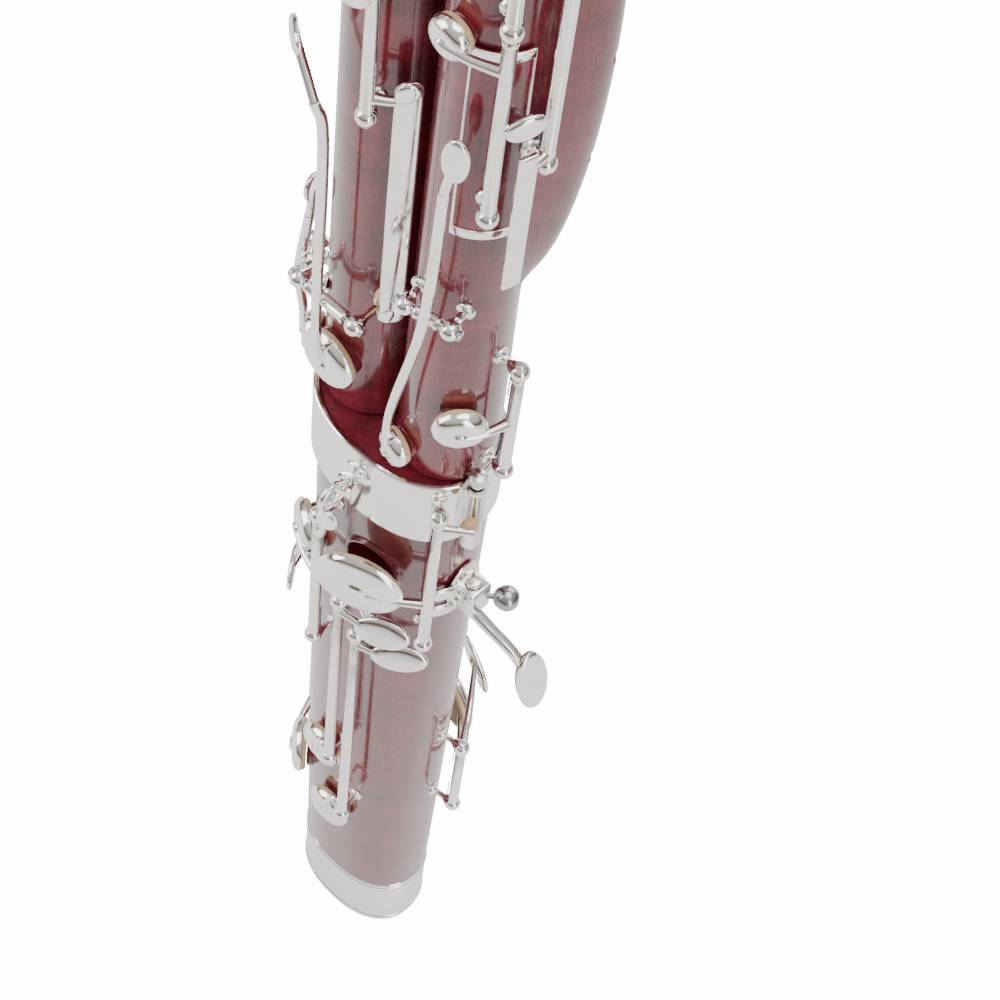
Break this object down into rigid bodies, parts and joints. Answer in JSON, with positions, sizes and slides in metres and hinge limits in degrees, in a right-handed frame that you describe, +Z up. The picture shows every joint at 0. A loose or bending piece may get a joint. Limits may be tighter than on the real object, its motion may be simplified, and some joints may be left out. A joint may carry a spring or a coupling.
{
  "type": "bassoon",
  "caption": "Wooden bassoon of boot, wing, long and bell joints with plated keywork, bocal and reed, standing upright on its boot cap.",
  "frame": {"origin": "centre of the boot cap's bottom face", "axes": "+Z up the instrument towards the bell, -Y the thumb side, +X the wing joint's side"},
  "size_m": [0.1264, 0.3254, 1.341],
  "materials": {
    "wood": "stained dark red maple under a high-gloss clear lacquer",
    "silver": "silver plate, polished",
    "steel": "plain steel rods, screws and posts, polished",
    "cork": "natural cork, dull",
    "rim": "plated metal ring, polished",
    "bocal": "silver plate, polished",
    "cane": "bare cane"
  },
  "bodies": {
    "root": {"bell_body": "wood", "bell_rim_ring": "rim", "bell_socket_ring": "silver", "boot_body": "wood", "boot_cap": "silver", "boot_ferrule": "silver", "hand_rest_holder": "silver", "hinge_bell_b_flat": "steel", "hinge_high_keys": "steel", "hinge_little_finger": "steel", "hinge_low_b_flat": "steel", "hinge_low_c_b": "steel", "hinge_low_c_sharp": "steel", "hinge_low_d": "steel", "hinge_low_e": "steel", "hinge_low_e_flat": "steel", "hinge_low_f": "steel", "hinge_low_g": "steel", "hinge_thumb_b_flat": "steel", "hinge_thumb_pair": "steel", "hinge_whisper": "steel", "hinge_wing_c_sharp": "steel", "hinge_wing_vent": "steel", "joint_lock_base": "silver", "long_body": "wood", "long_tenon_cork": "cork", "thumb_saddle": "silver", "u_tube": "silver", "u_tube_gasket": "cork", "wing_body": "wood", "wing_receiver_ring": "silver", "wing_tenon_cork": "cork"},
    "low_e_key": {"low_e_key": "silver"},
    "thumb_b_flat_key": {"thumb_b_flat_key": "silver"},
    "thumb_f_sharp_key": {"thumb_f_sharp_key": "silver"},
    "thumb_a_flat_key": {"thumb_a_flat_key": "silver"},
    "low_f_key": {"low_f_key": "silver"},
    "low_g_key": {"low_g_key": "silver"},
    "g_sharp_key": {"g_sharp_key": "silver"},
    "front_f_sharp_key": {"front_f_sharp_key": "silver"},
    "low_c_key": {"low_c_key": "silver"},
    "low_b_key": {"low_b_key": "silver"},
    "low_d_key": {"low_d_key": "silver"},
    "low_b_flat_lever": {"low_b_flat_lever": "silver"},
    "bell_b_flat_key": {"bell_b_flat_key": "silver"},
    "wing_vent_key": {"wing_vent_key": "silver"},
    "whisper_key": {"whisper_key": "silver"},
    "high_a_key": {"high_a_key": "silver"},
    "high_c_key": {"high_c_key": "silver"},
    "low_e_flat_key": {"low_e_flat_key": "silver"},
    "low_c_sharp_key": {"low_c_sharp_key": "silver"},
    "wing_c_sharp_key": {"wing_c_sharp_key": "silver"},
    "strap_ring": {"strap_ring": "silver"},
    "hand_rest_crutch": {"hand_rest_crutch": "silver"},
    "hand_rest_screw": {"hand_rest_screw": "steel"},
    "whisper_pin": {"whisper_pin": "steel"},
    "joint_lock_pin": {"joint_lock_pin": "steel"},
    "bocal": {"bocal_tube": "bocal", "bocal_cork": "cork", "reed_blades": "cane"}
  },
  "joints": [
    {"name": "low_e_turn", "type": "hinge", "parent": "root", "child": "low_e_key", "pos_m": [0.03701, -0.02261, 0.3835], "axis": [0, 0, 1], "range_deg": [-13, 0], "stiffness_Nm_per_rad": 0.05},
    {"name": "thumb_b_flat_turn", "type": "hinge", "parent": "root", "child": "thumb_b_flat_key", "pos_m": [-0.00988, -0.0341, 0.339], "axis": [0, 0, 1], "range_deg": [0, 10], "stiffness_Nm_per_rad": 0.05},
    {"name": "thumb_f_sharp_turn", "type": "hinge", "parent": "root", "child": "thumb_f_sharp_key", "pos_m": [0.00331, -0.03444, 0.265], "axis": [0, 0, 1], "range_deg": [0, 10], "stiffness_Nm_per_rad": 0.05},
    {"name": "thumb_a_flat_turn", "type": "hinge", "parent": "root", "child": "thumb_a_flat_key", "pos_m": [0.01206, -0.03335, 0.23175], "axis": [0, 0, 1], "range_deg": [0, 10], "stiffness_Nm_per_rad": 0.05},
    {"name": "low_f_turn", "type": "hinge", "parent": "root", "child": "low_f_key", "pos_m": [0.04324, 0.0055, 0.173], "axis": [0, 0, -1], "range_deg": [-9, 0], "stiffness_Nm_per_rad": 0.05},
    {"name": "low_g_turn", "type": "hinge", "parent": "root", "child": "low_g_key", "pos_m": [-0.01438, 0.03306, 0.2475], "axis": [0, 0, 1], "range_deg": [-9, 0], "stiffness_Nm_per_rad": 0.05},
    {"name": "g_sharp_turn", "type": "hinge", "parent": "root", "child": "g_sharp_key", "pos_m": [-0.04343, 0.00383, 0.296], "axis": [0, 0, 1], "range_deg": [0, 10], "stiffness_Nm_per_rad": 0.05},
    {"name": "front_f_sharp_turn", "type": "hinge", "parent": "root", "child": "front_f_sharp_key", "pos_m": [-0.04343, 0.00383, 0.1625], "axis": [0, 0, -1], "range_deg": [0, 10], "stiffness_Nm_per_rad": 0.05},
    {"name": "low_c_turn", "type": "hinge", "parent": "root", "child": "low_c_key", "pos_m": [-0.04067, -0.01545, 0.772], "axis": [0, 0, -1], "range_deg": [-10, 0], "stiffness_Nm_per_rad": 0.05},
    {"name": "low_b_turn", "type": "hinge", "parent": "root", "child": "low_b_key", "pos_m": [-0.04067, -0.01545, 0.901], "axis": [0, 0, -1], "range_deg": [-10, 0], "stiffness_Nm_per_rad": 0.05},
    {"name": "low_d_turn", "type": "hinge", "parent": "root", "child": "low_d_key", "pos_m": [-0.0076, -0.02472, 0.657], "axis": [0, 0, -1], "range_deg": [0, 9], "stiffness_Nm_per_rad": 0.05},
    {"name": "low_b_flat_turn", "type": "hinge", "parent": "root", "child": "low_b_flat_lever", "pos_m": [0.00076, -0.0187, 0.866], "axis": [0, 0, 1], "range_deg": [-10, 0], "stiffness_Nm_per_rad": 0.05},
    {"name": "bell_b_flat_turn", "type": "hinge", "parent": "root", "child": "bell_b_flat_key", "pos_m": [0.00076, -0.0187, 1.126], "axis": [0, 0, 1], "range_deg": [-10, 0], "stiffness_Nm_per_rad": 0.05},
    {"name": "wing_vent_turn", "type": "hinge", "parent": "root", "child": "wing_vent_key", "pos_m": [0.04489, 0, 0.482], "axis": [0, 0, 1], "range_deg": [0, 7], "stiffness_Nm_per_rad": 0.05},
    {"name": "whisper_turn", "type": "hinge", "parent": "root", "child": "whisper_key", "pos_m": [0.0436, -0.00265, 0.75], "axis": [0, 0, 1], "range_deg": [-7, 0], "stiffness_Nm_per_rad": 0.05},
    {"name": "high_a_turn", "type": "hinge", "parent": "root", "child": "high_a_key", "pos_m": [0.0369, -0.01787, 0.653], "axis": [0, 0, 1], "range_deg": [0, 9], "stiffness_Nm_per_rad": 0.05},
    {"name": "high_c_turn", "type": "hinge", "parent": "root", "child": "high_c_key", "pos_m": [0.0369, -0.01787, 0.754], "axis": [0, 0, 1], "range_deg": [0, 9], "stiffness_Nm_per_rad": 0.05},
    {"name": "low_e_flat_rock", "type": "hinge", "parent": "root", "child": "low_e_flat_key", "pos_m": [-0.0186, -0.02615, 0.512], "axis": [-1, 0, 0], "range_deg": [0, 4], "stiffness_Nm_per_rad": 0.05},
    {"name": "low_c_sharp_rock", "type": "hinge", "parent": "root", "child": "low_c_sharp_key", "pos_m": [-0.04126, -0.01205, 0.5], "axis": [-0.4695, 0.8829, 0], "range_deg": [0, 4], "stiffness_Nm_per_rad": 0.05},
    {"name": "wing_c_sharp_rock", "type": "hinge", "parent": "root", "child": "wing_c_sharp_key", "pos_m": [0.02356, -0.02429, 0.548], "axis": [-0.9781, -0.2079, 0], "range_deg": [0, 3], "stiffness_Nm_per_rad": 0.05},
    {"name": "strap_ring_swing", "type": "hinge", "parent": "root", "child": "strap_ring", "pos_m": [0.00244, -0.03438, 0.427], "axis": [0, 0, 1], "range_deg": [-50, 50]},
    {"name": "hand_rest_slide", "type": "slide", "parent": "root", "child": "hand_rest_crutch", "axis": [0, 0, 1], "range_m": [-0.005, 0]},
    {"name": "hand_rest_screw_turn", "type": "hinge", "parent": "root", "child": "hand_rest_screw", "pos_m": [0.04334, 0.0006, 0.352], "axis": [0.7861, 0.6181, 0], "continuous": true},
    {"name": "whisper_pin_slide", "type": "slide", "parent": "root", "child": "whisper_pin", "axis": [0, 0, 1], "range_m": [0, 0.0025]},
    {"name": "joint_lock_slide", "type": "slide", "parent": "root", "child": "joint_lock_pin", "axis": [0, 0, 1], "range_m": [0, 0.008]},
    {"name": "bocal_turn", "type": "hinge", "parent": "root", "child": "bocal", "pos_m": [0.0184, 0, 0.905], "axis": [0, 0, 1], "range_deg": [-12, 12]}
  ],
  "couplings": [
    {"joint": "whisper_pin_slide", "follows": "low_e_turn", "m_per_rad": -0.009696},
    {"joint": "wing_vent_turn", "follows": "low_e_turn", "ratio": -0.46154},
    {"joint": "bell_b_flat_turn", "follows": "low_b_flat_turn", "ratio": 1}
  ]
}
